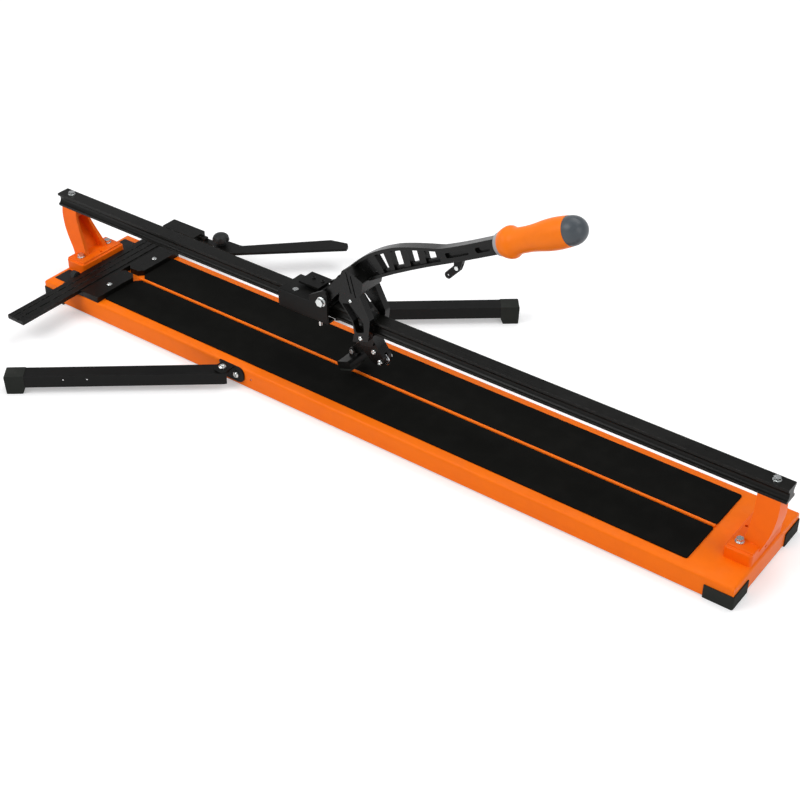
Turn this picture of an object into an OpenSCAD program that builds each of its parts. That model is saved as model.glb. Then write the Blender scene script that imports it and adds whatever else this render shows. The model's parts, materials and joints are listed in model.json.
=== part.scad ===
// Manual rail tile cutter: sheet-steel base, raised guide rail, sliding carriage
// with a lever that presses a scoring wheel and a breaker foot onto the tile.
// X runs along the rail (+X is the end of the lever's grip), Y across it, Z up.
// The origin is on the floor, midway along the rail and on its centre line.

/* [Base tray] */
// Length of the base tray
base_l = 1380; // [1150:10:1660]
// Width of the base tray
base_w = 210; // [190:2:260]
// Height of the tray's top face above the floor
base_h = 36.4; // [34:0.2:44]
// Thickness of the tray's sheet
sheet_t = 2; // [1.5:0.5:3]
// Outer radius of the tray's folded edges
fold_r = 5; // [3:0.5:6]
// How far the tray's middle lies from the rail's middle, along the rail
base_offset = 12.5; // [0:0.5:14]
// Gap between the floor and the lower edge of the sheet
foot_rise = 2.5; // [2:0.5:4]

/* [Corner feet] */
// Length of a rubber corner foot along each side
foot_l = 45; // [35:1:60]
// Height of a rubber corner foot
foot_h = 23.5; // [16:0.5:28]
// Thickness of the rubber outside the sheet
foot_skin = 2.2; // [1.5:0.1:3]

/* [Mats and ridge] */
// Thickness of the two rubber mats
mat_t = 2.6; // [2:0.2:5]
// Width of each mat
mat_w = 83; // [70:1:90]
// Gap between the two mats
mat_gap = 8; // [7:0.5:14]
// Distance from the tray's end to the end of the mats
mat_end = 83; // [80:1:120]
// Width of the break ridge between the mats
ridge_w = 5; // [4:0.5:6]
// Height of the break ridge above the tray
ridge_h = 4.2; // [3:0.2:6]

/* [Rail] */
// Length of the guide rail
rail_l = 1441; // [1200:1:1730]
// Width of the guide rail
rail_w = 25; // [24:0.5:28]
// Height of the guide rail's section
rail_h = 24.4; // [23.6:0.2:28]
// Height of the rail's underside above the floor
rail_z = 135.5; // [130:0.5:160]
// Radius of the rail's hollow sides
groove_r = 8.5; // [7:0.5:9]
// Depth of the rail's hollow sides
groove_depth = 5.6; // [4:0.2:6]

/* [Stands] */
// Length of a stand's foot block along the rail
stand_l = 44; // [40:1:50]
// Width of a stand's foot block
stand_w = 102; // [90:1:116]
// Height of a stand's foot block
stand_h = 22.6; // [18:0.2:26]
// Gap between a stand's foot block and the tray's end
stand_end = 3; // [2:0.5:6]
// Distance between the two bolts of a stand
stand_bolt_pitch = 67; // [60:1:74]
// Bolt line of the left stand, from the block's inner face
left_bolt_line = 24; // [14:1:28]
// Bolt line of the right stand, from the block's inner face
right_bolt_line = 16; // [14:1:28]
// Length of the pad under the rail
pad_l = 35; // [30:1:40]
// Gap between the pad's outer edge and the rail's end
pad_end = 8.5; // [6:0.5:12]

/* [Fence and ruler] */
// Distance from the rail's middle to the fence's stop face
fence_x = 541.5; // [460:0.5:600]
// Width of a fence plate along the rail
fence_w = 36; // [30:1:40]
// Height of the fence plates above the tray
fence_h = 11; // [9:0.5:14]
// Width of the ruler bar
ruler_w = 39; // [30:1:42]
// Thickness of the ruler bar
ruler_t = 8; // [6:0.5:9]
// Length of the ruler bar
ruler_l = 417; // [390:1:500]
// How far the ruler bar reaches out in front of the rail
ruler_reach = 237; // [220:1:260]
// Width of the wall between the fence and the ruler bar
ruler_wall = 8; // [6:0.5:9]
// Sliding clearance of the ruler bar on each side
ruler_gap = 0.4; // [0.3:0.1:0.6]

/* [Side stop] */
// Length of the stop block along the rail
stop_block_l = 80; // [76:1:90]
// Width of the stop block along the ruler
stop_block_w = 33; // [30:1:40]
// Length of the swivelling stop arm
stop_arm_l = 245; // [200:5:300]
// Width of the swivelling stop arm
stop_arm_w = 38; // [30:1:40]
// Thickness of the swivelling stop arm
stop_arm_t = 5; // [4:0.5:6]
// Angle of the straight part of the stop arm
stop_arm_angle = 44.4; // [40:0.2:60]

/* [Support arms] */
// Distance of the support arms' pivots from the rail's middle, toward the fence
arm_pivot_x = 227; // [200:1:260]
// Distance of a support arm's pivot from the tray's side
arm_pivot_out = 17.5; // [17.5:0.5:20]
// Length of a support arm from its pivot to its tip
arm_l = 361; // [300:1:380]
// Width of a support arm
arm_w = 28; // [24:0.5:28]
// Height of a support arm's channel
arm_h = 21.5; // [18:0.5:24]
// Height of a support arm's top face above the floor
arm_top = 33.5; // [32:0.5:35]
// Angle between a support arm and the tray's side
arm_angle = 38.5; // [30:0.5:50]
// Length of the foot at a support arm's tip
arm_foot_l = 33; // [26:1:40]

/* [Carriage] */
// Where the carriage's middle stands along the rail
carriage_x = -125; // [-125:1:-120]
// Length of the carriage
carriage_l = 103; // [100:1:120]
// Width of the carriage
carriage_w = 60; // [58:1:64]
// Height of the lever's pivot above the rail's top
pivot_rise = 12.6; // [12.6:0.2:16]
// Distance from the carriage's right end to the lever's pivot
pivot_inset = 10.5; // [10:0.5:14]
// Radius of the pivot bolt's shank
pivot_r = 4; // [3:0.5:5]
// Radius of a guide roller
roller_r = 9; // [8:0.5:9]

/* [Lever] */
// Width of the lever's flanges
flange_w = 18; // [14:1:22]
// Thickness of the lever's flanges
flange_t = 5; // [4:0.5:6]
// Thickness of the lever's web
web_t = 5; // [4:0.5:8]
// Inner distance between the lever's two legs
leg_gap = 29; // [28:0.5:31]
// Thickness of a lever's leg
leg_t = 12; // [10:0.5:14]
// Slope of the lever's beam and grip
beam_angle = 27.7; // [24:0.1:30]
// Length of the grip without its end cap
grip_l = 129; // [120:1:145]
// Length of the grip's end cap
cap_l = 27; // [22:1:34]
// Radius of the grip's front bulge
bulge_r = 24.5; // [23:0.5:27]
// Radius of the grip's waist
waist_r = 19; // [17:0.5:21]
// Radius of the grip's end cap
cap_r = 22; // [20:0.5:25]

/* [Scoring wheel and breaker] */
// Radius of the scoring wheel
wheel_r = 11; // [9:0.5:12]
// Thickness of the scoring wheel
wheel_t = 5; // [3:0.5:6]
// Width of the breaker foot across the tile
breaker_w = 63; // [50:1:70]
// Length of the breaker foot along the rail
breaker_l = 27; // [22:1:30]
// Height of the breaker foot's bar
breaker_h = 15; // [12:0.5:16]

/* [Hidden] */

$fn = 48;
fit = 0.05;       // radial clearance of a turning fit
air = 0.3;        // gap between faces that move past each other
hex_ratio = 1.1547;

base_x0 = base_offset - base_l / 2;
base_x1 = base_offset + base_l / 2;
rail_top = rail_z + rail_h;
mat_x1 = base_x1 - mat_end;
mat_x0 = -fence_x + 0.5;
mat_top = base_h + mat_t;
side_y = base_w / 2;
pivot_x = carriage_x + carriage_l / 2 - pivot_inset;
pivot_z = rail_top + pivot_rise;

orange = [1.0, 0.43, 0.05];
black = [0.11, 0.11, 0.11];
rubber = [0.16, 0.17, 0.16];
zinc = [0.80, 0.82, 0.83];

// ---- general shapes -------------------------------------------------------

function unit(v) = v / norm(v);
function turn(a) = [cos(a), sin(a)];

// Points of one rounded corner b between its neighbours a and c.
function corner(a, b, c, r, n) =
  r == 0 ? [b] :
  let (u = unit(a - b), v = unit(c - b), half = acos(max(-1, min(1, u * v))) / 2,
       run = r / tan(half), mid = b + unit(u + v) * (r / sin(half)),
       p = b + u * run, q = b + v * run,
       a0 = atan2(p.y - mid.y, p.x - mid.x), a1 = atan2(q.y - mid.y, q.x - mid.x),
       step = (a1 - a0) > 180 ? a1 - a0 - 360 : (a1 - a0) < -180 ? a1 - a0 + 360 : a1 - a0)
  [for (i = [0:n]) mid + r * turn(a0 + step * i / n)];

// Outline through points [x, y, r], with each corner rounded to its own radius.
function rounded(pts, n = 5) = [
  for (i = [0:len(pts) - 1])
    let (m = len(pts), a = pts[(i + m - 1) % m], b = pts[i], c = pts[(i + 1) % m])
    each corner([a.x, a.y], [b.x, b.y], [c.x, c.y], b.z, n)
];

function box_path(x0, y0, x1, y1, r) = [[x0, y0, r], [x1, y0, r], [x1, y1, r], [x0, y1, r]];

// Points on a smooth curve with four guide points.
function curve(a, b, c, d, n = 12) = [
  for (i = [0:n]) let (t = i / n, s = 1 - t)
    a * s * s * s + 3 * b * s * s * t + 3 * c * s * t * t + d * t * t * t
];

function reversed(v) = [for (i = [len(v) - 1:-1:0]) v[i]];

// A flat outline in Y and Z, drawn out along X.
module along_x(x0, x1) {
  translate([x0, 0, 0]) rotate([90, 0, 90]) linear_extrude(x1 - x0) children();
}

// A flat outline in X and Z, drawn out along Y.
module along_y(y0, y1) {
  translate([0, y1, 0]) rotate([90, 0, 0]) linear_extrude(y1 - y0) children();
}

module block(x0, x1, y0, y1, z0, z1, r = 0) {
  translate([0, 0, z0]) linear_extrude(z1 - z0) polygon(rounded(box_path(x0, y0, x1, y1, r)));
}

module pin_z(x, y, z0, z1, r) { translate([x, y, z0]) cylinder(h = z1 - z0, r = r); }
module pin_y(x, z, y0, y1, r) { translate([x, y1, z]) rotate([90, 0, 0]) cylinder(h = y1 - y0, r = r); }
module pin_x(y, z, x0, x1, r) { translate([x0, y, z]) rotate([0, 90, 0]) cylinder(h = x1 - x0, r = r); }

// Hexagon head or nut standing on its seat, h high and across wide.
module hex(h, across) { cylinder(h = h, r = across / 2 * hex_ratio, $fn = 6); }

// Bolt with its head's seat at z = 0, its shank going down and a washer under the head.
module hex_bolt(r, shank, across, head_h, washer_r, washer_t) {
  translate([0, 0, washer_t]) hex(head_h, across);
  translate([0, 0, -shank]) cylinder(h = shank + washer_t + 0.5, r = r);
  cylinder(h = washer_t, r = washer_r);
}

// Button-headed screw with a hexagon socket, its seat at z = 0.
module socket_screw(r, shank, head_r, head_h) {
  difference() {
    union() {
      cylinder(h = head_h * 0.55, r = head_r);
      translate([0, 0, head_h * 0.55]) cylinder(h = head_h * 0.45, r1 = head_r, r2 = head_r * 0.72);
    }
    translate([0, 0, head_h * 0.45]) cylinder(h = head_h, r = head_r * 0.5, $fn = 6);
  }
  translate([0, 0, -shank]) cylinder(h = shank + 0.5, r = r);
}

// Clamp knob with lobes round its rim and a blind bore for its stud, foot at z = 0.
module lobed_knob(r, h, bore_r, lobes) {
  collar_h = h * 0.3;
  difference() {
    union() {
      cylinder(h = collar_h + 0.5, r = r * 0.55);
      translate([0, 0, collar_h]) rotate_extrude()
        polygon(concat([[0, 0], [r * 0.8, 0]], curve([r, h * 0.1], [r, h * 0.45], [r * 0.7, h * 0.68], [0, h * 0.7], 8)));
    }
    for (i = [0:lobes - 1]) rotate([0, 0, 360 / lobes * i])
      translate([r * 1.18, 0, collar_h - 1]) cylinder(h = h, r = r * 0.34, $fn = 24);
    translate([0, 0, -1]) cylinder(h = h * 0.6 + 1, r = bore_r);
  }
}

// ---- base -----------------------------------------------------------------

// Plain box of the tray with its upper edges folded to a radius, cut back by inset.
module tray_form(inset, z_low, z_high, r) {
  x0 = base_x0 + inset;
  x1 = base_x1 - inset;
  y1 = side_y - inset;
  intersection() {
    along_x(x0, x1) polygon(rounded([[-y1, z_low, 0], [y1, z_low, 0], [y1, z_high, r], [-y1, z_high, r]]));
    along_y(-y1 - 1, y1 + 1) polygon(rounded([[x0, z_low, 0], [x1, z_low, 0], [x1, z_high, r], [x0, z_high, r]]));
  }
}

stand_bolt_r = 3;
bracket_screw_r = 3;
fence_screw_r = 2.5;
spare_hole_r = 2;
spare_hole_x = -181;
spare_hole_z = 20;

// Places children at the four stand bolts, at height z.
module at_stand_bolts(z) {
  for (side = [-1, 1], y = [-1, 1])
    translate([stand_bolt_x(side), y * stand_bolt_pitch / 2, z]) children();
}

function block_in(side) = side > 0 ? base_x1 - stand_end - stand_l : base_x0 + stand_end + stand_l;
function stand_bolt_x(side) = block_in(side) + side * (side > 0 ? right_bolt_line : left_bolt_line);

fence_x0 = -fence_x - fence_w;
fence_screw_y = 57;
fence_screw_x = -fence_x - 17;

// Places children at the two fence screws, at height z.
module at_fence_screws(z) {
  for (y = [-1, 1]) translate([fence_screw_x, y * fence_screw_y, z]) children();
}

bracket_t = 3;
bracket_screw_dx = 17;
bracket_screw_z = 21.5;

// Places children at the screw of each arm bracket, facing out of the tray's side, y from its middle.
// The rear bracket is the front one turned half round, so its screw is on the other side of the pivot.
module at_bracket_screws(y) {
  for (side = [-1, 1])
    translate([-arm_pivot_x - side * bracket_screw_dx, side * y, bracket_screw_z]) rotate([-90 * side, 0, 0]) children();
}

module base_tray() color(orange) difference() {
  tray_form(0, foot_rise, base_h, fold_r);
  tray_form(sheet_t, foot_rise - 1, base_h - sheet_t, fold_r - sheet_t);
  at_stand_bolts(base_h - 10) cylinder(h = 20, r = stand_bolt_r + air);
  at_fence_screws(base_h - 10) cylinder(h = 20, r = fence_screw_r + air);
  at_bracket_screws(side_y - 10) cylinder(h = 20, r = bracket_screw_r + air);
  pin_y(spare_hole_x, spare_hole_z, -side_y - 5, -side_y + 10, spare_hole_r);
}

channel_y = 62;
channel_w = 34;
channel_drop = 18;

module stiffener_channels() color(orange) for (side = [-1, 1])
  translate([0, side * channel_y, 0]) difference() {
    block(base_x0 + 60, base_x1 - 60, -channel_w / 2, channel_w / 2, base_h - sheet_t - channel_drop, base_h - sheet_t);
    block(base_x0 + 59, base_x1 - 59, -channel_w / 2 + sheet_t, channel_w / 2 - sheet_t, base_h - channel_drop, base_h);
  }

module break_ridge() color(orange) along_x(mat_x0, mat_x1)
  polygon(rounded([[-ridge_w / 2, base_h, 0], [ridge_w / 2, base_h, 0],
                   [ridge_w / 2, base_h + ridge_h, ridge_w / 2 - 0.2],
                   [-ridge_w / 2, base_h + ridge_h, ridge_w / 2 - 0.2]]));

mat_y0 = mat_gap / 2;
mat_chamfer = 9;

module mat() {
  translate([0, 0, base_h]) linear_extrude(mat_t)
    polygon(rounded([[mat_x0 + mat_chamfer, mat_y0, 2], [mat_x1, mat_y0, 4], [mat_x1, mat_y0 + mat_w, 4],
                     [mat_x0, mat_y0 + mat_w, 4], [mat_x0, mat_y0 + mat_chamfer, 2]]));
}

module front_mat() color(black) mirror([0, 1, 0]) mat();
module rear_mat() color(black) mat();

foot_inner = 3;

// L-shaped rubber cap at one corner, with a slot that the sheet's lower edge sits in.
module corner_foot(sx, sy) {
  cx = sx > 0 ? base_x1 : base_x0;
  translate([cx, sy * side_y, 0]) mirror([sx < 0 ? 1 : 0, 0, 0]) mirror([0, sy < 0 ? 1 : 0, 0]) difference() {
    linear_extrude(foot_h) polygon(rounded([
      [-foot_l, foot_skin, 1], [foot_skin, foot_skin, 3], [foot_skin, -foot_l, 1],
      [-sheet_t - foot_inner, -foot_l, 1], [-sheet_t - foot_inner, -sheet_t - foot_inner, 1],
      [-foot_l, -sheet_t - foot_inner, 1]]));
    translate([0, 0, foot_rise]) linear_extrude(foot_h) polygon([
      [-foot_l - 1, 0], [0, 0], [0, -foot_l - 1], [-sheet_t, -foot_l - 1], [-sheet_t, -sheet_t],
      [-foot_l - 1, -sheet_t]]);
  }
}

module corner_feet() color(rubber) for (sx = [-1, 1], sy = [-1, 1]) corner_foot(sx, sy);

// ---- stands and rail ------------------------------------------------------

rail_screw_r = 3;
pad_out = rail_l / 2 - pad_end;
rail_screw_x = pad_out - 15.5;
web_back = 9;
flank_t = 7;
root_half = 25;
block_top = base_h + stand_h;

// One cast stand, in X = distance from the rail's middle.
module stand_form(x_in, bolt_line) {
  x_out = x_in + stand_l;
  outer = curve([x_out, base_h + stand_h * 0.6], [x_out + 9, block_top + 12], [pad_out + 4, rail_z - 38], [pad_out, rail_z]);
  inner = curve([x_out - 27, block_top - 4], [x_out - 20, block_top + 24], [pad_out - pad_l, rail_z - 30], [pad_out - pad_l, rail_z]);
  difference() {
    union() {
      intersection() {
        along_y(-stand_w / 2, stand_w / 2) polygon(rounded([
          [x_in, base_h, 0], [x_out, base_h, 0], [x_out, block_top, 2.5], [x_in + 3.5, block_top, 1],
          [x_in + 3.5, block_top - 3.5, 1], [x_in, block_top - 3.5, 1.5]]));
        along_x(x_in - 1, x_out + 1) polygon(rounded([
          [-stand_w / 2, base_h, 0], [stand_w / 2, base_h, 0], [stand_w / 2, block_top - 4, 1.5],
          [stand_w / 2 - 4, block_top - 3.5, 1], [stand_w / 2 - 4, block_top, 1],
          [-stand_w / 2 + 4, block_top, 1], [-stand_w / 2 + 4, block_top - 3.5, 1],
          [-stand_w / 2, block_top - 4, 1.5]]));
        block(x_in, x_out, -stand_w / 2, stand_w / 2, base_h, block_top, 5);
      }
      intersection() {
        along_y(-stand_w / 2, stand_w / 2) polygon(concat(outer, reversed(inner)));
        along_x(x_in - 10, pad_out + 20) polygon([
          [-root_half - 6, base_h + 8], [root_half + 6, base_h + 8], [root_half, block_top + 6], [16, rail_z - 24],
          [rail_w / 2 + 0.5, rail_z], [-rail_w / 2 - 0.5, rail_z], [-16, rail_z - 24], [-root_half, block_top + 6]]);
      }
    }
    stand_recess(x_out);
    for (y = [-1, 1]) pin_z(x_in + bolt_line, y * stand_bolt_pitch / 2, base_h - 1, block_top + 8, stand_bolt_r + air);
    for (y = [-1, 1]) pin_z(x_in + bolt_line, y * stand_bolt_pitch / 2, block_top, block_top + 30, stand_washer_r + 1);
    pin_z(rail_screw_x, 0, rail_z - 20, rail_z + 1, rail_screw_r + fit);
    pin_z(x_in + 9, 3, block_top - 12, block_top + 1, 2.6);
    pin_x(-4, base_h + 9, x_in - 1, x_in + 12, 2.6);
    pin_x(-4, base_h + 8, x_out - 12, x_out + 10, 2.6);
  }
}

// Hollow between a stand's two flanks, open toward the middle of the rail.
module stand_recess(x_out) {
  intersection() {
    along_y(-stand_w / 2, stand_w / 2) polygon(concat(
      curve([x_out - 9, block_top + 0.5], [x_out - 2, block_top + 20], [pad_out - web_back, rail_z - 40], [pad_out - web_back - 1, rail_z - 10], 10),
      [[x_out - 60, rail_z - 10], [x_out - 60, block_top + 0.5]]));
    along_x(x_out - 60, pad_out + 20) polygon(rounded([
      [-root_half + flank_t, block_top, 2], [root_half - flank_t, block_top, 2],
      [rail_w / 2 + 4 - flank_t, rail_z - 10, 4], [-rail_w / 2 - 4 + flank_t, rail_z - 10, 4]]));
  }
}

stand_washer_r = 7;

module left_stand() color(orange) mirror([1, 0, 0]) stand_form(-block_in(-1), left_bolt_line);
module right_stand() color(orange) stand_form(block_in(1), right_bolt_line);

stand_shank = stand_h + sheet_t + 9;

module stand_bolts() color(zinc) at_stand_bolts(block_top) hex_bolt(stand_bolt_r, stand_shank, 10, 5, stand_washer_r, 1.5);

module stand_nuts() color(zinc) at_stand_bolts(base_h - sheet_t - 6.5) difference() {
  union() {
    translate([0, 0, 5]) cylinder(h = 1.5, r = stand_washer_r);
    hex(5.2, 10);
  }
  translate([0, 0, -1]) cylinder(h = 10, r = stand_bolt_r + fit);
}

module rail_section() difference() {
  translate([-rail_w / 2, rail_z]) square([rail_w, rail_h]);
  for (side = [-1, 1])
    translate([side * (rail_w / 2 + groove_r - groove_depth), rail_z + rail_h / 2]) circle(r = groove_r, $fn = 64);
}

module rail() color(black) difference() {
  along_x(-rail_l / 2, rail_l / 2) rail_section();
  for (side = [-1, 1]) pin_z(side * rail_screw_x, 0, rail_z - 1, rail_top + 1, rail_screw_r + air);
}

module rail_screws() color(zinc) for (side = [-1, 1])
  translate([side * rail_screw_x, 0, rail_top]) hex_bolt(rail_screw_r, rail_h + 14, 10, 4, 6.5, 1.2);

// ---- fence, ruler and side stop -------------------------------------------

ruler_x1 = fence_x0 - ruler_wall;
ruler_x0 = ruler_x1 - ruler_w;
guide_t = 3.6;
ruler_z = base_h + guide_t + 0.2;
ruler_top = ruler_z + ruler_t;
fence_y0 = 6;
fence_y1 = side_y - 1;

module fence_plate() difference() {
  translate([0, 0, base_h]) linear_extrude(fence_h) polygon(rounded([
    [fence_x0, fence_y0 + 8, 1], [fence_x0 + 8, fence_y0, 1], [-fence_x - 9, fence_y0, 1], [-fence_x, fence_y0 + 9, 1],
    [-fence_x, fence_y1, 1.5], [fence_x0, fence_y1, 1.5]]));
  translate([fence_screw_x, fence_screw_y, base_h - 1]) cylinder(h = fence_h + 2, r = fence_screw_r + air);
  translate([fence_screw_x, fence_screw_y, base_h + fence_h - 2.2]) cylinder(h = 10, r = 5.4);
}

module fence_front_plate() color(black) mirror([0, 1, 0]) fence_plate();
module fence_rear_plate() color(black) fence_plate();

module fence_screws() color(zinc) at_fence_screws(base_h + fence_h - 2.2)
  socket_screw(fence_screw_r, fence_h + sheet_t + 2, 4.8, 3);

guide_y = side_y - 1;

guide_wall = 4;
clamp_y = -70;
clamp_z = ruler_z + 4.5;
clamp_screw_r = 2;
clamp_head_r = 8;
clamp_head_l = 11;

// Channel on the tray that the ruler bar slides through, with a boss for its clamp screw.
module ruler_guide() color(black) difference() {
  union() {
    block(ruler_x0 - guide_wall, fence_x0, -guide_y, guide_y, base_h, ruler_top - 1.5);
    block(ruler_x0 - guide_wall, ruler_x0 - 1, clamp_y - 6, clamp_y + 6, base_h, clamp_z + 4.5);
  }
  block(ruler_x0 - ruler_gap, ruler_x1 + ruler_gap, -guide_y - 1, guide_y + 1, ruler_z - 0.2, clamp_z + 6);
  pin_x(clamp_y, clamp_z, ruler_x0 - guide_wall - 1, ruler_x0, clamp_screw_r + fit);
}

// Thumb screw with a ribbed head, through the guide's wall against the ruler bar.
module ruler_knob() color(rubber) difference() {
  union() {
    pin_x(clamp_y, clamp_z, ruler_x0 - guide_wall - air - clamp_head_l, ruler_x0 - guide_wall - air, clamp_head_r);
    pin_x(clamp_y, clamp_z, ruler_x0 - guide_wall - air - 1, ruler_x0 - 0.1, clamp_screw_r);
  }
  for (i = [0:17]) translate([0, clamp_y, clamp_z]) rotate([i * 20, 0, 0]) translate([0, 0, clamp_head_r + 0.6])
    pin_x(0, 0, ruler_x0 - guide_wall - clamp_head_l - 2, ruler_x0 - guide_wall - 2, 1.2);
}

label_t = 0.4;
label_x0 = base_x0 + 9;
label_x1 = ruler_x0 - guide_wall - air - clamp_head_l - 1.5;

// Two bare label plates, in front of and behind the left stand.
module label_plates() color(black) for (side = [-1, 1])
  block(label_x0, label_x1, side > 0 ? stand_w / 2 + 2 : -side_y + 16,
        side > 0 ? side_y - 16 : -stand_w / 2 - 2, base_h, base_h + label_t, 2);

ruler_y0 = -ruler_reach;
ruler_y1 = ruler_l - ruler_reach;

// Aluminium bar with two long grooves.
module ruler_bar() color(black) difference() {
  block(ruler_x0, ruler_x1, ruler_y0, ruler_y1, ruler_z, ruler_top, 0);
  for (x = [ruler_x0 + 11, ruler_x1 - 14])
    block(x, x + 3, ruler_y0 - 1, ruler_y1 + 1, ruler_top - 1.5, ruler_top + 1);
}

stop_wall = 2.5;
stop_y1 = ruler_y1 + stop_wall;
stop_y0 = stop_y1 - stop_block_w;
stop_x0 = ruler_x0 - stop_wall;
stop_x1 = stop_x0 + stop_block_l;
stop_low = ruler_z - stop_wall;
stop_top = ruler_top + 3.8;
stop_pivot_x = stop_x1 + 51;
stop_pivot_y = stop_y1 - 11;
lug_t = 4;
lug_r = 12;
stop_arm_z = stop_low + lug_t + air;
stud_r = 4;

// Cast block fixed round the ruler bar's rear end, with the lug of the stop arm.
module stop_block() color(black) difference() {
  union() {
    block(stop_x0, stop_x1, stop_y0, stop_y1, stop_low, stop_top, 2);
    block(stop_x1 - 4, stop_pivot_x, stop_pivot_y - 7, stop_pivot_y + 7, stop_low, stop_low + lug_t);
    pin_z(stop_pivot_x, stop_pivot_y, stop_low, stop_low + lug_t, lug_r);
    block(stop_x1 - 1, stop_x1 + 14, stop_pivot_y - 5, stop_pivot_y + 5, stop_low, stop_top - 5, 2);
  }
  block(ruler_x0, ruler_x1, stop_y0 - 1, ruler_y1, ruler_z, ruler_top);
  pin_z(stop_pivot_x, stop_pivot_y, stop_low - 1, stop_low + lug_t + 1, stud_r + fit);
}

stop_knob_z = stop_arm_z + stop_arm_t + air;

module stop_pivot_stud() color(zinc) {
  pin_z(stop_pivot_x, stop_pivot_y, stop_low - 3, stop_knob_z + 8, stud_r);
  translate([stop_pivot_x, stop_pivot_y, stop_low - 3]) cylinder(h = 3, r = stud_r + 4);
}

stop_root = 52;

// Flat stop arm: a short root from the pivot, then a long straight bar with a cut-off tip.
module stop_arm() {
  elbow = [stop_root, 7];
  dir = turn(stop_arm_angle);
  side = [-dir.y, dir.x];
  half = stop_arm_w / 2;
  tip = elbow + dir * (stop_arm_l - stop_root);
  color(black) translate([stop_pivot_x, stop_pivot_y, stop_arm_z]) difference() {
    union() {
      linear_extrude(stop_arm_t) polygon(rounded([
        [0, -half + 3, 8], [stop_root * 0.75, -half + 3, 12],
        concat(tip - side * half - dir * 4, 2), concat(tip - side * (half - 10), 3),
        concat(tip + side * 2, 3), concat(tip + side * half - dir * 30, 3),
        concat(elbow + side * half - dir * 4, 12), [0, half - 3, 8]]));
      cylinder(h = stop_arm_t, r = half - 3);
    }
    translate([0, 0, -1]) cylinder(h = stop_arm_t + 2, r = stud_r + fit);
  }
}

module stop_knob() color(rubber) translate([stop_pivot_x, stop_pivot_y, stop_knob_z])
  lobed_knob(16, 22, stud_r + fit, 7);

// ---- support arms ---------------------------------------------------------

arm_y = side_y + arm_pivot_out;
arm_low = arm_top - arm_h;
arm_wall = 2;
tongue_z = arm_top + air;
arm_bolt_r = 3.5;
tongue_r = 13;

// Bracket on the tray's side: an upright plate and a tongue over the arm's end.
module arm_bracket() translate([-arm_pivot_x, -side_y, 0]) difference() {
  union() {
    along_y(-bracket_t, 0) polygon(rounded([
      [-20, 8, 5], [33, 8, 12], [33, tongue_z + bracket_t, 12], [-20, tongue_z + bracket_t, 1]]));
    translate([0, 0, tongue_z]) linear_extrude(bracket_t) polygon(rounded([
      [-20, 0, 0], [tongue_r, 0, 0], [tongue_r, -arm_pivot_out - tongue_r, tongue_r - 1],
      [-tongue_r, -arm_pivot_out - tongue_r, tongue_r - 1], [-tongue_r, -6, 3], [-20, -4, 1]], 8));
  }
  pin_z(0, -arm_pivot_out, tongue_z - 1, tongue_z + bracket_t + 1, arm_bolt_r + fit);
  pin_y(bracket_screw_dx, bracket_screw_z, -bracket_t - 1, 1, bracket_screw_r + air);
}

module front_arm_bracket() color(black) arm_bracket();
module rear_arm_bracket() color(black) translate([-2 * arm_pivot_x, 0, 0]) rotate([0, 0, 180]) arm_bracket();

module bracket_screws() color(zinc) at_bracket_screws(side_y + bracket_t)
  socket_screw(bracket_screw_r, bracket_t + sheet_t + 4, 5.5, 3.6);

// Pivot bolts of the two arms, each with the nut that holds it under the arm's top.
module arm_pivot_bolts() color(zinc) for (side = [-1, 1])
  translate([-arm_pivot_x, side * arm_y, tongue_z + bracket_t]) {
    socket_screw(arm_bolt_r, bracket_t + air + arm_wall + 7, 6.5, 4);
    translate([0, 0, -bracket_t - air - arm_wall - air - 5]) hex(5, 11);
  }

foot_skirt = 0.8;
relief_l = 34;

// Pressed-steel channel, open below, pointing along +X from its pivot at the origin.
// Its wall toward the tray is cut away near the pivot, where it passes the bracket's screw.
module arm_channel() difference() {
  union() {
    pin_z(0, 0, arm_low, arm_top, arm_w / 2);
    block(0, arm_l - foot_wall, -arm_w / 2, arm_w / 2, arm_low, arm_top);
  }
  pin_z(0, 0, arm_low - 1, arm_top - arm_wall, arm_w / 2 - arm_wall);
  block(0, arm_l, -arm_w / 2 + arm_wall, arm_w / 2 - arm_wall, arm_low - 1, arm_top - arm_wall);
  block(-arm_w, relief_l, -arm_w, arm_w / 2 - arm_wall, arm_low - 1, arm_top - arm_wall);
  pin_z(0, 0, arm_low, arm_top + 1, arm_bolt_r + fit);
  for (x = [0.62, 0.73]) pin_y(arm_l * x, arm_top - 8, arm_w / 2 - 5, arm_w / 2 + 1, 1.6);
}

foot_wall = 2;

// Moulded cap that closes the arm's tip and stands on the floor.
module arm_foot() difference() {
  along_y(-arm_w / 2 - foot_skirt, arm_w / 2 + foot_skirt) polygon(rounded([
    [arm_l - arm_foot_l, arm_low - 2, 2], [arm_l - arm_foot_l + 4, 0, 2], [arm_l - 1.5, 0, 2],
    [arm_l, arm_top + foot_skirt, 2], [arm_l - arm_foot_l, arm_top + foot_skirt, 0.6]]));
  difference() {
    block(arm_l - arm_foot_l - 5, arm_l - foot_wall, -arm_w / 2, arm_w / 2, arm_low, arm_top);
    block(arm_l - arm_foot_l + 3, arm_l, -arm_w / 2 + arm_wall + 0.1, arm_w / 2 - arm_wall - 0.1,
          arm_low - 1, arm_top - arm_wall - 0.1);
  }
}

// Turns an arm from +X to where it stands at rest: the front arm points back, the rear arm forward.
module at_arm(side) {
  translate([-arm_pivot_x, side * arm_y, 0]) rotate([0, 0, arm_angle + (side < 0 ? 180 : 0)]) children();
}

module front_arm() color(black) at_arm(-1) arm_channel();
module rear_arm() color(black) at_arm(1) arm_channel();
module front_arm_foot() color(rubber) at_arm(-1) arm_foot();
module rear_arm_foot() color(rubber) at_arm(1) arm_foot();

// ---- carriage -------------------------------------------------------------

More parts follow.
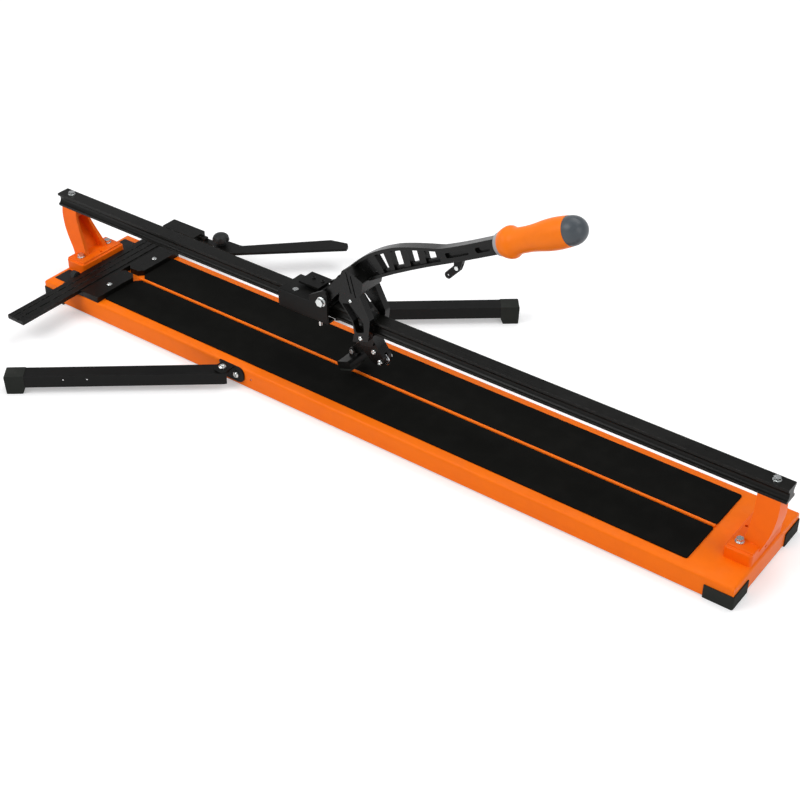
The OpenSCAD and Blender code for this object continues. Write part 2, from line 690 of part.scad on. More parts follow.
car_x0 = carriage_x - carriage_l / 2;
car_x1 = carriage_x + carriage_l / 2;
car_y = carriage_w / 2;
car_low = rail_z - 4.5;
plate_t = 3.2;
car_top = rail_top + 0.5 + plate_t;
cheek_t = 4;
ear_x0 = car_x1 - 37;
ear_t = 6;
ear_wall = 4;
ear_top = pivot_z + 18;
roller_y = rail_w / 2 - groove_depth + air + roller_r;
roller_inset = 26;
axle_r = 3;
lip_in = 11;
floor_t = 3.5;

// Places children at the four roller axles, at height z.
module at_rollers(z) {
  for (sx = [-1, 1], sy = [-1, 1])
    translate([roller_x(sx), sy * roller_y, z]) children();
}

function roller_x(sx) = sx < 0 ? car_x0 + roller_inset : car_x1 - roller_inset;

// Outline of the box's wall in Y and Z: closed above and at the sides, open below the rail.
module carriage_section() polygon(rounded([
  [-car_y, car_low, 2], [-lip_in, car_low, 1], [-lip_in, car_low + floor_t, 1],
  [-car_y + cheek_t, car_low + floor_t, 1], [-car_y + cheek_t, car_top - plate_t, 1],
  [car_y - cheek_t, car_top - plate_t, 1], [car_y - cheek_t, car_low + floor_t, 1],
  [lip_in, car_low + floor_t, 1], [lip_in, car_low, 1], [car_y, car_low, 2],
  [car_y, car_top, 3], [-car_y, car_top, 3]]));

// Cast box that wraps round the rail, with two ears for the lever's pivot bolt.
module carriage_body() color(black) difference() {
  union() {
    along_x(car_x0, car_x1) carriage_section();
    for (side = [-1, 1]) along_y(side > 0 ? car_y - ear_t : -car_y, side > 0 ? car_y : -car_y + ear_t)
      polygon(rounded([[ear_x0, car_top - 4, 0], [car_x1, car_top - 4, 0], [car_x1, ear_top, 6],
                       [car_x1 - 12, ear_top, 8], [ear_x0, pivot_z + 3, 3]]));
    block(ear_x0, ear_x0 + ear_wall, -car_y + 1, car_y - 1, car_top - 1, car_top + 6);
  }
  pin_y(pivot_x, pivot_z, -car_y - 1, car_y + 1, pivot_r + fit);
  at_rollers(car_low - 1) cylinder(h = floor_t + 3, r = axle_r + fit);
  at_rollers(car_top - plate_t - 1) cylinder(h = plate_t + 2, r = axle_r + fit);
}

tab_x0 = car_x0 + 20;
tab_x1 = ear_x0 - 3;
tab_z = car_top + 5;
tab_t = 4;

// Flat tab over the rear half of the carriage, on a low foot.
module carriage_tab() color(black) difference() {
  union() {
    block(tab_x0, tab_x1, -2, car_y + 4, tab_z, tab_z + tab_t, 1.5);
    block(tab_x0 + 13, tab_x1 - 2, 10, car_y - 2, car_top, tab_z + 1);
  }
  for (x = [tab_x0 + 16, tab_x1 - 8]) pin_z(x, 19, car_top - 1, tab_z + tab_t + 1, 1.5 + fit);
}

module tab_screws() color(zinc) for (x = [tab_x0 + 16, tab_x1 - 8])
  translate([x, 19, tab_z + tab_t]) socket_screw(1.5, tab_z + tab_t - car_top - 0.5, 3.2, 2);

module pivot_bolt() color(zinc) translate([pivot_x, -car_y, pivot_z]) rotate([90, 0, 0])
  hex_bolt(pivot_r, carriage_w + 9, 13, 5.5, 8.5, 1.6);

module pivot_nut() color(zinc) translate([pivot_x, car_y, pivot_z]) rotate([-90, 0, 0]) difference() {
  union() {
    cylinder(h = 1.6, r = 8.5);
    translate([0, 0, 1.5]) hex(6, 13);
  }
  translate([0, 0, -1]) cylinder(h = 12, r = pivot_r + fit);
}

spring_wire_r = 1.2;
spring_r = 5.5;
spring_half = 14.2;
spring_turns = 11;

// Torsion spring round the pivot bolt: its turns lie side by side, and one straight leg reaches the wall.
module return_spring() color(zinc) {
  translate([pivot_x, 0, pivot_z]) rotate([90, 0, 0]) rotate_extrude() {
    translate([spring_r - spring_wire_r, -spring_half]) square([spring_wire_r * 1.2, spring_half * 2]);
    for (i = [0:spring_turns - 1])
      translate([spring_r, -spring_half + spring_half * 2 * (i + 0.5) / spring_turns]) circle(r = spring_wire_r, $fn = 16);
  }
  pin_x(-spring_half + 2, pivot_z - spring_r, ear_x0 + ear_wall, pivot_x, 1);
}

// Axles of the rollers. The right pair is adjustable: its lower ends stand out below their lock nuts.
module roller_axles() color(zinc) for (sx = [-1, 1], sy = [-1, 1])
  translate([roller_x(sx), sy * roller_y, car_top]) {
    axle_end = sx > 0 ? 16 : 0;
    translate([0, 0, car_low - car_top - axle_end]) cylinder(h = car_top - car_low + axle_end + 0.5, r = axle_r);
    cylinder(h = 2, r = 5);
    if (sx > 0) translate([0, 0, car_low - car_top - 4]) hex(4, 8.5);
  }

roller_h = 13;
roller_flat = 5.5;

// Guide roller with a crowned rim that runs in the rail's hollow side.
module roller(sx, sy) color(zinc) translate([roller_x(sx), sy * roller_y, rail_z + rail_h / 2]) rotate_extrude()
  polygon(concat(
    [[axle_r + fit, -roller_h / 2]],
    [for (i = [0:10]) let (z = roller_h * (i / 10 - 0.5)) [roller_r - groove_r + sqrt(groove_r * groove_r - z * z), z]],
    [[axle_r + fit, roller_h / 2]]));

module roller_front_left() roller(-1, -1);
module roller_front_right() roller(1, -1);
module roller_rear_left() roller(-1, 1);
module roller_rear_right() roller(1, 1);

// ---- lever ----------------------------------------------------------------
// Its outlines are in X and Z, measured from the pivot bolt.

leg_in = leg_gap / 2;
leg_out = leg_in + leg_t;

beam_top = concat(
  curve([42, 70], [57, 88], [85, 113], [120, 129], 10),
  curve([128, 133], [152, 143], [184, 152], [206, 158], 8),
  curve([214, 160.5], [240, 172], [270, 188], [312, 211], 8));
beam_low = concat(
  curve([78, 55], [94, 65.5], [113, 77], [134, 89.5], 10),
  curve([143, 94.5], [165, 107], [191, 121], [217, 134], 8),
  curve([226, 138.5], [252, 151.5], [290, 171.5], [330, 193], 8));

// Point of the beam at share s along it and share v from its low to its top edge.
function beam_point(s, v) =
  let (i = s * (len(beam_top) - 1), k = min(floor(i), len(beam_top) - 2), f = i - k,
       t = beam_top[k] * (1 - f) + beam_top[k + 1] * f, l = beam_low[k] * (1 - f) + beam_low[k + 1] * f)
  l * (1 - v) + t * v;
function beam_depth(s) = norm(beam_point(s, 1) - beam_point(s, 0));

// Outline of the beam between two shares of its length, cut back by edge mm at both sides,
// or by edge at the low side and top_edge at the top.
function beam_strip(s0, s1, edge, n, top_edge = -1) = let (cut = top_edge < 0 ? edge : top_edge) concat(
  [for (i = [0:n]) let (s = s0 + (s1 - s0) * i / n) beam_point(s, edge / beam_depth(s))],
  [for (i = [n:-1:0]) let (s = s0 + (s1 - s0) * i / n) beam_point(s, 1 - cut / beam_depth(s))]);

windows = [[0.12, 0.175], [0.232, 0.300], [0.346, 0.427], [0.473, 0.540], [0.584, 0.650]];
window_low = 10;
window_top = 8;
pockets = [[0.735, 0.86], [0.895, 0.955]];
closed_s = 0.69;
leg_path = [[38, 50, 6], [33, 13, 5], [59, -17, 6], [63, -38, 4], [59, -56, 2], [91, -44, 4], [95, -4, 8], [71, 42, 10]];
leg_opening = [[39, 10, 2], [61, -16, 4], [67, -36, 3], [83, -30, 4], [82, -12, 5], [54, 14, 3]];
knee_path = [[34, 48, 8], [42, 77, 10], [82, 62, 3], [78, 36, 5], [40, 34, 4]];
fork_dir = unit([34, 44]);
fork_half = 8;
fork_eye_r = 8.5;
fork_out = car_y - ear_t - 1;

module lever_outline(pts) { translate([pivot_x, pivot_z]) polygon(pts); }

// Place measured from the pivot bolt, for pins that lie across the lever.
module lever_pin(p, y0, y1, r) { pin_y(pivot_x + p.x, pivot_z + p.y, y0, y1, r); }

// The same outline on both sides of the rail, from y0 to y1 out from its middle.
module both_sides(y0, y1) {
  along_y(y0, y1) children();
  along_y(-y1, -y0) children();
}

function fork_path(reach) =
  let (n = [-fork_dir.y, fork_dir.x])
  [fork_half * n, -fork_half * n, reach * fork_dir - fork_half * n * 1.3, reach * fork_dir + fork_half * n * 1.3];

// Cast lever: fork, knee, two legs beside the rail, and the windowed beam.
module lever_frame() color(black) difference() {
  union() {
    along_y(-web_t / 2, web_t / 2) lever_outline(beam_strip(0, 1, 0, 28));
    along_y(-flange_w / 2, flange_w / 2) difference() {
      lever_outline(beam_strip(0, 1, 0, 28));
      lever_outline(beam_strip(0.02, closed_s, flange_t, 28));
    }
    for (i = [0:len(windows) - 2])
      along_y(-flange_w / 2 + 3, flange_w / 2 - 3) lever_outline(beam_strip(windows[i][1], windows[i + 1][0], 2, 2));
    along_y(-leg_out, leg_out) lever_outline(rounded(knee_path));
    both_sides(leg_in, leg_out) lever_outline(rounded(leg_path));
    both_sides(leg_in, fork_out) lever_outline(fork_path(62));
    for (side = [-1, 1]) lever_pin([0, 0], side > 0 ? leg_in : -fork_out, side > 0 ? fork_out : -leg_in, fork_eye_r);
  }
  for (w = windows) along_y(-flange_w, flange_w) lever_outline(beam_strip(w[0], w[1], window_low, 4, window_top));
  for (p = pockets) both_sides(flange_w / 2 - 5, flange_w / 2 + 1)
    lever_outline(rounded([for (c = beam_strip(p[0], p[1], flange_t + 3, 1)) [c.x, c.y, 3]]));
  both_sides(leg_in - 1, leg_out + 1) lever_outline(rounded(leg_opening));
  both_sides(leg_out - 1.2, leg_out + 1) for (i = [0:1])
    translate([i * 9, -i * 4]) lever_outline([[47, 70], [50, 70], [60, 34], [57, 34]]);
  lever_pin([0, 0], -fork_out - 1, fork_out + 1, pivot_r + fit);
  lever_pin(side_screw, -leg_out - 1, leg_out + 1, side_screw_r + fit);
  lever_pin(leg_screw, -leg_out - 1, -leg_in + 1, leg_screw_r + fit);
  at_grip() translate([-60, -60, 0]) cube([120, 120, 60]);
}

// ---- grip -----------------------------------------------------------------

grip_root = [314.4, 198.2];

// Frame of the grip: Z runs along its axis, from the collar to the cap.
module at_grip() translate([pivot_x + grip_root.x, 0, pivot_z + grip_root.y]) rotate([0, 90 - beam_angle, 0]) children();

collar_l = 9;
collar_r = 17.5;

module grip_collar() color([0.55, 0.55, 0.57]) at_grip() rotate_extrude()
  polygon([[0, 0], [collar_r - 1.2, 0], [collar_r, 1.2], [collar_r + 2, collar_l], [0, collar_l]]);

module grip() color([1.0, 0.45, 0.08]) at_grip() translate([0, 0, collar_l]) rotate_extrude() polygon(concat(
  [[0, 0], [collar_r + 2.5, 0]],
  curve([bulge_r - 3, 3], [bulge_r - 0.6, 9], [bulge_r + 1, 14], [bulge_r - 1.2, 18.5], 8),
  curve([bulge_r - 2.6, 20.5], [waist_r + 0.6, 24.5], [waist_r, 28], [waist_r, 36], 8),
  curve([waist_r, 44], [waist_r + 0.3, 64], [cap_r + 1.6, 76], [cap_r + 1.3, 98], 10),
  curve([cap_r + 1.2, 102], [cap_r + 1, 108], [cap_r + 0.5, grip_l - collar_l - 4], [cap_r, grip_l - collar_l], 4),
  [[0, grip_l - collar_l]]));

module grip_cap() color([0.28, 0.30, 0.32]) at_grip() translate([0, 0, grip_l]) rotate_extrude() polygon(concat(
  [[0, 0]], curve([cap_r - 0.4, 0], [cap_r + 0.4, cap_l * 0.55], [cap_r * 0.62, cap_l], [0, cap_l], 14)));

// ---- catch ----------------------------------------------------------------

lug_at = [243, 135];
link_l = 26;
link_angle = 228;
catch_pin_r = 2;

// Lug with a slot for the link, flush against the beam's lower flange.
module catch_lug() color(black) difference() {
  along_y(-4, 4) lever_outline(rounded([[lug_at.x - 5, lug_at.y + 17, 0], [lug_at.x + 13, lug_at.y + 27, 0],
    [lug_at.x + 8, lug_at.y + 6, 3], [lug_at.x + 4, lug_at.y - 6, 3], [lug_at.x - 6, lug_at.y - 5, 3]]));
  along_y(-1.5 - air, 1.5 + air) lever_outline([[lug_at.x - 20, lug_at.y - 20], [lug_at.x + 20, lug_at.y - 20],
    [lug_at.x + 20, lug_at.y + 9], [lug_at.x - 20, lug_at.y + 9]]);
  along_y(-flange_w, flange_w) lever_outline(beam_strip(0, 1, 0, 28));
  lever_pin(lug_at, -6, 6, catch_pin_r + fit);
}

module catch_pin() color(zinc) {
  lever_pin(lug_at, -5.5, 4, catch_pin_r);
  lever_pin(lug_at, -5.5, -4, catch_pin_r + 1.5);
}

link_tip = lug_at + link_l * turn(link_angle);
link_half = 6;

// Small steel link that hooks the lever down for carrying.
module catch_link() color(black) difference() {
  union() {
    along_y(-1.5, 1.5) lever_outline([for (c = [[lug_at, 1], [lug_at, -1], [link_tip, -1], [link_tip, 1]])
      c[0] + c[1] * link_half * turn(link_angle + 90)]);
    for (c = [lug_at, link_tip]) lever_pin(c, -1.5, 1.5, link_half);
  }
  lever_pin(lug_at, -4, 4, catch_pin_r + fit);
  lever_pin(link_tip, -4, 4, 1.8);
}

// ---- wheel holder, wheel and breaker --------------------------------------

side_screw_r = 2.5;
side_screw = [76, -43];
leg_screw = [57, 20];
leg_screw_r = 1.5;
cross_screw = [91, -71];
wheel_at = [103.5, -86.5];
breaker_at = [44.5, -89];
cheek_half = 11;
tongue_half = 6;
wheel_gap = wheel_t / 2 + air;
axle_small_r = 3;
breaker_pin_r = 2.5;
eye_r = 6.5;

// Block between the legs, under the rail, that carries the wheel and the breaker foot.
module wheel_holder() color(black) difference() {
  union() {
    along_y(-leg_in, leg_in) lever_outline(rounded([
      [64, -38.5, 2], [60, -56, 3], [66, -66, 4], [92, -60, 4], [91, -39.5, 2]]));
    along_y(-cheek_half, cheek_half) lever_outline(rounded([
      [63, -52, 2], [61, -70, 5], [86, -92, 5], [100, -95, 6], [111, -89, 6],
      [109, -77, 6], [98, -62, 4], [90, -50, 2]]));
    along_y(-tongue_half, tongue_half) lever_outline([[66, -58], [39.8, -84.5], [49.2, -93.5], [72, -80]]);
    lever_pin(breaker_at, -tongue_half, tongue_half, eye_r);
  }
  along_y(-wheel_gap, wheel_gap) lever_outline(rounded([
    [wheel_at.x - wheel_r - 4, wheel_at.y - 40, 0], [wheel_at.x + 40, wheel_at.y - 40, 0],
    [wheel_at.x + 40, wheel_at.y + wheel_r + 3, 0], [wheel_at.x - wheel_r - 4, wheel_at.y + wheel_r + 3, 6]]));
  lever_pin(wheel_at, -cheek_half - 1, cheek_half + 1, axle_small_r + fit);
  lever_pin(breaker_at, -tongue_half - 1, tongue_half + 1, breaker_pin_r + fit);
  lever_pin(cross_screw, -cheek_half - 1, cheek_half + 1, side_screw_r + fit);
  lever_pin(side_screw, -leg_in - 1, leg_in + 1, side_screw_r + fit);
}

// Screws that hold the holder between the legs, the one across its cheeks, and a small one in the front leg.
module holder_screws() color(zinc) {
  for (side = [-1, 1])
    translate([pivot_x + side_screw.x, side * leg_out, pivot_z + side_screw.y]) rotate([-90 * side, 0, 0])
      socket_screw(side_screw_r, leg_t + 9, 4, 2);
  translate([pivot_x + leg_screw.x, -leg_out, pivot_z + leg_screw.y]) rotate([90, 0, 0])
    socket_screw(leg_screw_r, leg_t - 2, 3, 2);
  translate([pivot_x + cross_screw.x, -cheek_half, pivot_z + cross_screw.y]) rotate([90, 0, 0])
    socket_screw(side_screw_r, cheek_half * 2 - 1, 4.6, 3.4);
}

module wheel_axle() color(zinc) translate([pivot_x + wheel_at.x, -cheek_half, pivot_z + wheel_at.y]) rotate([90, 0, 0]) {
  socket_screw(axle_small_r, cheek_half * 2 + 6, 4.8, 3.4);
  translate([0, 0, -cheek_half * 2 - 4]) hex(4, 8.5);
}

module scoring_wheel() color([0.62, 0.62, 0.60])
  translate([pivot_x + wheel_at.x, 0, pivot_z + wheel_at.y]) rotate([90, 0, 0]) rotate_extrude() polygon([
    [axle_small_r + fit, -wheel_t / 2], [wheel_r * 0.62, -wheel_t / 2], [wheel_r * 0.66, -wheel_t / 4],
    [wheel_r - 1.2, -wheel_t / 4], [wheel_r, 0], [wheel_r - 1.2, wheel_t / 4],
    [wheel_r * 0.66, wheel_t / 4], [wheel_r * 0.62, wheel_t / 2], [axle_small_r + fit, wheel_t / 2]]);

ear_in = tongue_half + air;
ear_out = tongue_half + 5;

module breaker_pin() color(zinc) {
  lever_pin(breaker_at, -ear_out - 1.6, ear_out + 1.6, breaker_pin_r);
  both_sides(ear_out + 0.1, ear_out + 1.6) lever_outline([for (a = [0:30:330]) breaker_at + 4 * turn(a)]);
}

foot_tilt = 19;
foot_drop = 16;
foot_shift = 5.5;
pad_h = 4;
foot_top = 7.5;

// Frame of the breaker foot: its bar's middle, tilted so that it lies level when pressed down.
module at_breaker() translate([pivot_x + breaker_at.x, 0, pivot_z + breaker_at.y])
  rotate([0, -foot_tilt, 0]) translate([-foot_shift, 0, -foot_drop]) children();

// Bar across the tile with two ears on the pin.
module breaker_foot() color(black) at_breaker() difference() {
  union() {
    along_y(-breaker_w / 2, breaker_w / 2) polygon(rounded([
      [-breaker_l / 2, foot_top - breaker_h + pad_h / 2, 1], [breaker_l / 2, foot_top - breaker_h + pad_h / 2, 1],
      [breaker_l / 2, foot_top - 3, 3], [breaker_l / 2 - 4, foot_top, 2], [-breaker_l / 2, foot_top, 2]]));
    for (side = [-1, 1]) along_y(side > 0 ? ear_in : -ear_out, side > 0 ? ear_out : -ear_in) {
      polygon([[foot_shift - 9, foot_top - 2], [foot_shift + 5, foot_top - 2], [foot_shift + 5, foot_drop], [foot_shift - 6, foot_drop]]);
    }
    for (side = [-1, 1]) translate([foot_shift, side > 0 ? ear_out : -ear_in, foot_drop]) rotate([90, 0, 0])
      cylinder(h = ear_out - ear_in, r = eye_r);
  }
  translate([foot_shift, ear_out + 1, foot_drop]) rotate([90, 0, 0]) cylinder(h = 2 * ear_out + 2, r = breaker_pin_r + fit);
}

// Two soft pads under the foot, one on each side of the scored line.
module breaker_pads() color(rubber) at_breaker() for (side = [-1, 1])
  translate([0, side * (breaker_w / 4 + 1.5), foot_top - breaker_h - pad_h / 2])
    linear_extrude(pad_h) polygon(rounded(box_path(-breaker_l / 2 + 0.5, -breaker_w / 4 + 2, breaker_l / 2 - 0.5, breaker_w / 4 - 2, 2)));

base_tray();
stiffener_channels();
break_ridge();
front_mat();
rear_mat();
corner_feet();
left_stand();
right_stand();
stand_bolts();
stand_nuts();
rail();
rail_screws();
fence_front_plate();
fence_rear_plate();
fence_screws();
ruler_guide();
label_plates();
front_arm_bracket();
rear_arm_bracket();
bracket_screws();
arm_pivot_bolts();
ruler_bar();
ruler_knob();
stop_block();
stop_pivot_stud();
stop_arm();
stop_knob();
front_arm();
front_arm_foot();
rear_arm();
rear_arm_foot();
carriage_body();
carriage_tab();
tab_screws();
pivot_bolt();
pivot_nut();
return_spring();
roller_axles();
roller_front_left();
roller_front_right();
roller_rear_left();
roller_rear_right();
lever_frame();
grip_collar();
grip();
grip_cap();
catch_lug();
catch_pin();
catch_link();
wheel_holder();
holder_screws();
wheel_axle();
scoring_wheel();
breaker_pin();
breaker_foot();
breaker_pads();
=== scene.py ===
"""Manual rail tile cutter: finishes, fine edges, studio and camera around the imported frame."""

import json
import logging
import math
from dataclasses import dataclass
from enum import Enum

import bpy
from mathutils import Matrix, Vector

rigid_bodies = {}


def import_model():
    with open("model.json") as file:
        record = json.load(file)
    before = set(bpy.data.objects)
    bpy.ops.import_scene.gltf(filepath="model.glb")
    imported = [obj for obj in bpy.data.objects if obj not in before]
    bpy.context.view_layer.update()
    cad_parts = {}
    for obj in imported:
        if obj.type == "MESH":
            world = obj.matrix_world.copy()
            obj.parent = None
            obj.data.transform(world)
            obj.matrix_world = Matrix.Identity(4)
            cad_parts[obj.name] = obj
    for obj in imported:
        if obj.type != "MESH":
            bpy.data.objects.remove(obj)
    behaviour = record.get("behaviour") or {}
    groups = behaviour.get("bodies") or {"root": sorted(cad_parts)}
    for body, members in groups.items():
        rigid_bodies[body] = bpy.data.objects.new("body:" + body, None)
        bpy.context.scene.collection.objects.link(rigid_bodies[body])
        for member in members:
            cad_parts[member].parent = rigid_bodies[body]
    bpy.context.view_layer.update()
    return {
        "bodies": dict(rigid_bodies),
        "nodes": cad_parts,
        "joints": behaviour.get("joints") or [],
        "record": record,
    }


LOG = logging.getLogger("tile_cutter")
MM = 0.001

Rgb = tuple[float, float, float]


def linear(red: int, green: int, blue: int) -> Rgb:
    """Turns a colour as seen on screen into the linear values that shaders take.

    Args:
        red: Red from 0 to 255.
        green: Green from 0 to 255.
        blue: Blue from 0 to 255.

    Returns:
        The three linear channels from 0 to 1.
    """
    def channel(value: int) -> float:
        """One channel of the sRGB curve."""
        share = value / 255
        return share / 12.92 if share <= 0.04045 else ((share + 0.055) / 1.055) ** 2.4

    return channel(red), channel(green), channel(blue)


class Texture(Enum):
    """What the skin of a finish is like close up."""

    ORANGE_PEEL = "orange_peel"
    CAST = "cast"
    PEBBLE = "pebble"
    SATIN = "satin"
    DRAWN_X = "drawn_x"
    TURNED = "turned"


# Noise scale (per metre), stretch along X, Y and Z, and detail of each texture.
TEXTURES: dict[Texture, tuple[float, tuple[float, float, float], float]] = {
    Texture.ORANGE_PEEL: (620.0, (1.0, 1.0, 1.0), 2.0),
    Texture.CAST: (430.0, (1.0, 1.0, 1.0), 5.0),
    Texture.PEBBLE: (520.0, (1.0, 1.0, 1.0), 3.0),
    Texture.SATIN: (900.0, (1.0, 1.0, 1.0), 3.0),
    Texture.DRAWN_X: (700.0, (0.02, 1.0, 1.0), 3.0),
    Texture.TURNED: (1100.0, (1.0, 0.25, 1.0), 2.0),
}


class Graph:
    """Small helper that adds and joins nodes in one tree."""

    def __init__(self, tree: bpy.types.NodeTree) -> None:
        """Takes the tree over and empties it."""
        self.tree = tree
        tree.nodes.clear()

    def add(self, kind: str, **values: object) -> bpy.types.Node:
        """Adds a node.

        Args:
            kind: Blender's type name of the node.
            **values: Attributes of the node.

        Returns:
            The new node.
        """
        node = self.tree.nodes.new(kind)
        for name, value in values.items():
            setattr(node, name, value)
        return node

    def put(self, node: bpy.types.Node, **sockets: object) -> bpy.types.Node:
        """Sets or links inputs of a node, each named with underscores for spaces.

        Args:
            node: The node whose inputs are set.
            **sockets: A value, or an output socket to link from. An underscore and a number names an
                input by its place.

        Returns:
            The same node.
        """
        for name, value in sockets.items():
            key = int(name[1:]) if name[1:].isdigit() else name.replace("_", " ")
            target = node.inputs[key]
            if isinstance(value, bpy.types.NodeSocket):
                self.tree.links.new(value, target)
            else:
                target.default_value = value
        return node

    def math(self, operation: str, first: object, second: object = 0.0,
             clamp: bool = False) -> bpy.types.NodeSocket:
        """Adds a Math node.

        Args:
            operation: Name of the operation.
            first: First value or socket.
            second: Second value or socket.
            clamp: Whether the result is kept from 0 to 1.

        Returns:
            The output socket.
        """
        node = self.add("ShaderNodeMath", operation=operation, use_clamp=clamp)
        self.put(node, _0=first, _1=second)
        return node.outputs[0]

    def spread(self, value: object, low: object, high: object, to_low: object = 0.0,
               to_high: object = 1.0) -> bpy.types.NodeSocket:
        """Maps a value smoothly from one range to another.

        Args:
            value: Socket to map.
            low: Start of its range.
            high: End of its range.
            to_low: Result at the start.
            to_high: Result at the end.

        Returns:
            The output socket.
        """
        node = self.add("ShaderNodeMapRange", interpolation_type="SMOOTHSTEP")
        self.put(node, Value=value, From_Min=low, From_Max=high, To_Min=to_low, To_Max=to_high)
        return node.outputs["Result"]

    def mix(self, factor: object, first: object, second: object) -> bpy.types.NodeSocket:
        """Mixes two colours.

        Args:
            factor: Share of the second colour.
            first: First colour or socket.
            second: Second colour or socket.

        Returns:
            The output colour socket.
        """
        node = self.add("ShaderNodeMix", data_type="RGBA")
        self.put(node, _0=factor, _6=first, _7=second)
        return node.outputs[2]


class SurfaceGroups:
    """The shader effects that several finishes share, each a node group built once."""

    EDGE_REACH = 0.0012
    GRAIN_ROUGHNESS = 0.55
    WIDE_SHARE = 0.65
    CLOSE_SHARE = 0.35
    CLOSE_SCALE = 9.0
    DUST_SCALE = 34.0

    def __init__(self) -> None:
        """Builds every group."""
        self.grain = self._grain()
        self.drift = self._drift()
        self.edge_wear_and_highlight = self._edge_wear_and_highlight()
        self.dust = self._dust()

    @staticmethod
    def _open(name: str, inputs: dict[str, object],
              outputs: list[str]) -> tuple[Graph, bpy.types.Node, bpy.types.Node]:
        """Starts a group with named sockets.

        Args:
            name: Name of the group.
            inputs: Default of each input; a vector input has the default None.
            outputs: Names of the float outputs.

        Returns:
            The graph, its input node and its output node.
        """
        tree = bpy.data.node_groups.new(name, "ShaderNodeTree")
        for label, default in inputs.items():
            is_vector = default is None or isinstance(default, tuple)
            kind = "NodeSocketVector" if is_vector else "NodeSocketFloat"
            socket = tree.interface.new_socket(name=label, in_out="INPUT", socket_type=kind)
            if default is not None:
                socket.default_value = default
        for label in outputs:
            tree.interface.new_socket(name=label, in_out="OUTPUT", socket_type="NodeSocketFloat")
        graph = Graph(tree)
        return graph, graph.add("NodeGroupInput"), graph.add("NodeGroupOutput")

    def _grain(self) -> bpy.types.NodeTree:
        """Fine relief of a skin: stretched noise, as a height from 0 to 1."""
        inputs = {"Place": None, "Scale": 600.0, "Stretch": (1.0, 1.0, 1.0), "Detail": 3.0}
        graph, ins, outs = self._open("fine_grain", inputs, ["Height"])
        stretched = graph.add("ShaderNodeVectorMath", operation="MULTIPLY")
        graph.put(stretched, _0=ins.outputs["Place"], _1=ins.outputs["Stretch"])
        noise = graph.add("ShaderNodeTexNoise")
        graph.put(noise, Vector=stretched.outputs[0], Scale=ins.outputs["Scale"],
                  Detail=ins.outputs["Detail"], Roughness=self.GRAIN_ROUGHNESS)
        graph.put(outs, Height=noise.outputs[0])
        return graph.tree

    def _drift(self) -> bpy.types.NodeTree:
        """Slow change over a surface, at hand scale and at finger scale together."""
        graph, ins, outs = self._open("slow_drift", {"Place": None, "Scale": 9.0}, ["Value"])
        wide = graph.put(graph.add("ShaderNodeTexNoise"), Vector=ins.outputs["Place"],
                         Scale=ins.outputs["Scale"], Detail=3.0)
        close = graph.put(graph.add("ShaderNodeTexNoise"), Vector=ins.outputs["Place"],
                          Scale=graph.math("MULTIPLY", ins.outputs["Scale"], self.CLOSE_SCALE), Detail=4.0)
        both = graph.math("ADD", graph.math("MULTIPLY", wide.outputs[0], self.WIDE_SHARE),
                          graph.math("MULTIPLY", close.outputs[0], self.CLOSE_SHARE))
        graph.put(outs, Value=graph.spread(both, 0.34, 0.66))
        return graph.tree

    def _edge_wear_and_highlight(self) -> bpy.types.NodeTree:
        """Mask of the outer edges, broken up by noise: partly wear that hands and tiles rub, partly a
        painted highlight along the edges.
        """
        inputs = {"Place": None, "Amount": 0.4, "Breakup": 160.0}
        graph, ins, outs = self._open("edge_wear_and_highlight", inputs, ["Mask"])
        rounded = graph.put(graph.add("ShaderNodeBevel", samples=4), Radius=self.EDGE_REACH)
        turn = graph.add("ShaderNodeVectorMath", operation="DOT_PRODUCT")
        graph.put(turn, _0=rounded.outputs[0], _1=graph.add("ShaderNodeNewGeometry").outputs["Normal"])
        edge = graph.spread(turn.outputs["Value"], 0.995, 0.93)
        noise = graph.put(graph.add("ShaderNodeTexNoise"), Vector=ins.outputs["Place"],
                          Scale=ins.outputs["Breakup"], Detail=5.0)
        broken = graph.spread(noise.outputs[0], 0.42, 0.62)
        # The broken edge mask paints wear and an edge highlight together.
        rubbed_and_highlit = graph.math("MULTIPLY", edge, broken)
        graph.put(outs, Mask=graph.math("MULTIPLY", rubbed_and_highlit, ins.outputs["Amount"], True))
        return graph.tree

    def _dust(self) -> bpy.types.NodeTree:
        """Mask of the thin dust that settles on faces that look up."""
        graph, ins, outs = self._open("settled_dust", {"Place": None, "Amount": 0.1}, ["Mask"])
        normal = graph.put(graph.add("ShaderNodeSeparateXYZ"),
                           Vector=graph.add("ShaderNodeNewGeometry").outputs["Normal"])
        up = graph.spread(normal.outputs["Z"], 0.6, 0.98)
        noise = graph.put(graph.add("ShaderNodeTexNoise"), Vector=ins.outputs["Place"],
                          Scale=self.DUST_SCALE, Detail=8.0)
        patches = graph.spread(noise.outputs[0], 0.40, 0.72)
        settled = graph.math("MULTIPLY", up, patches)
        graph.put(outs, Mask=graph.math("MULTIPLY", settled, ins.outputs["Amount"], True))
        return graph.tree


DUST_COLOUR = linear(176, 172, 166)
ROUGHNESS_DRIFT = 0.10
ROUGHNESS_GRAIN = 0.12


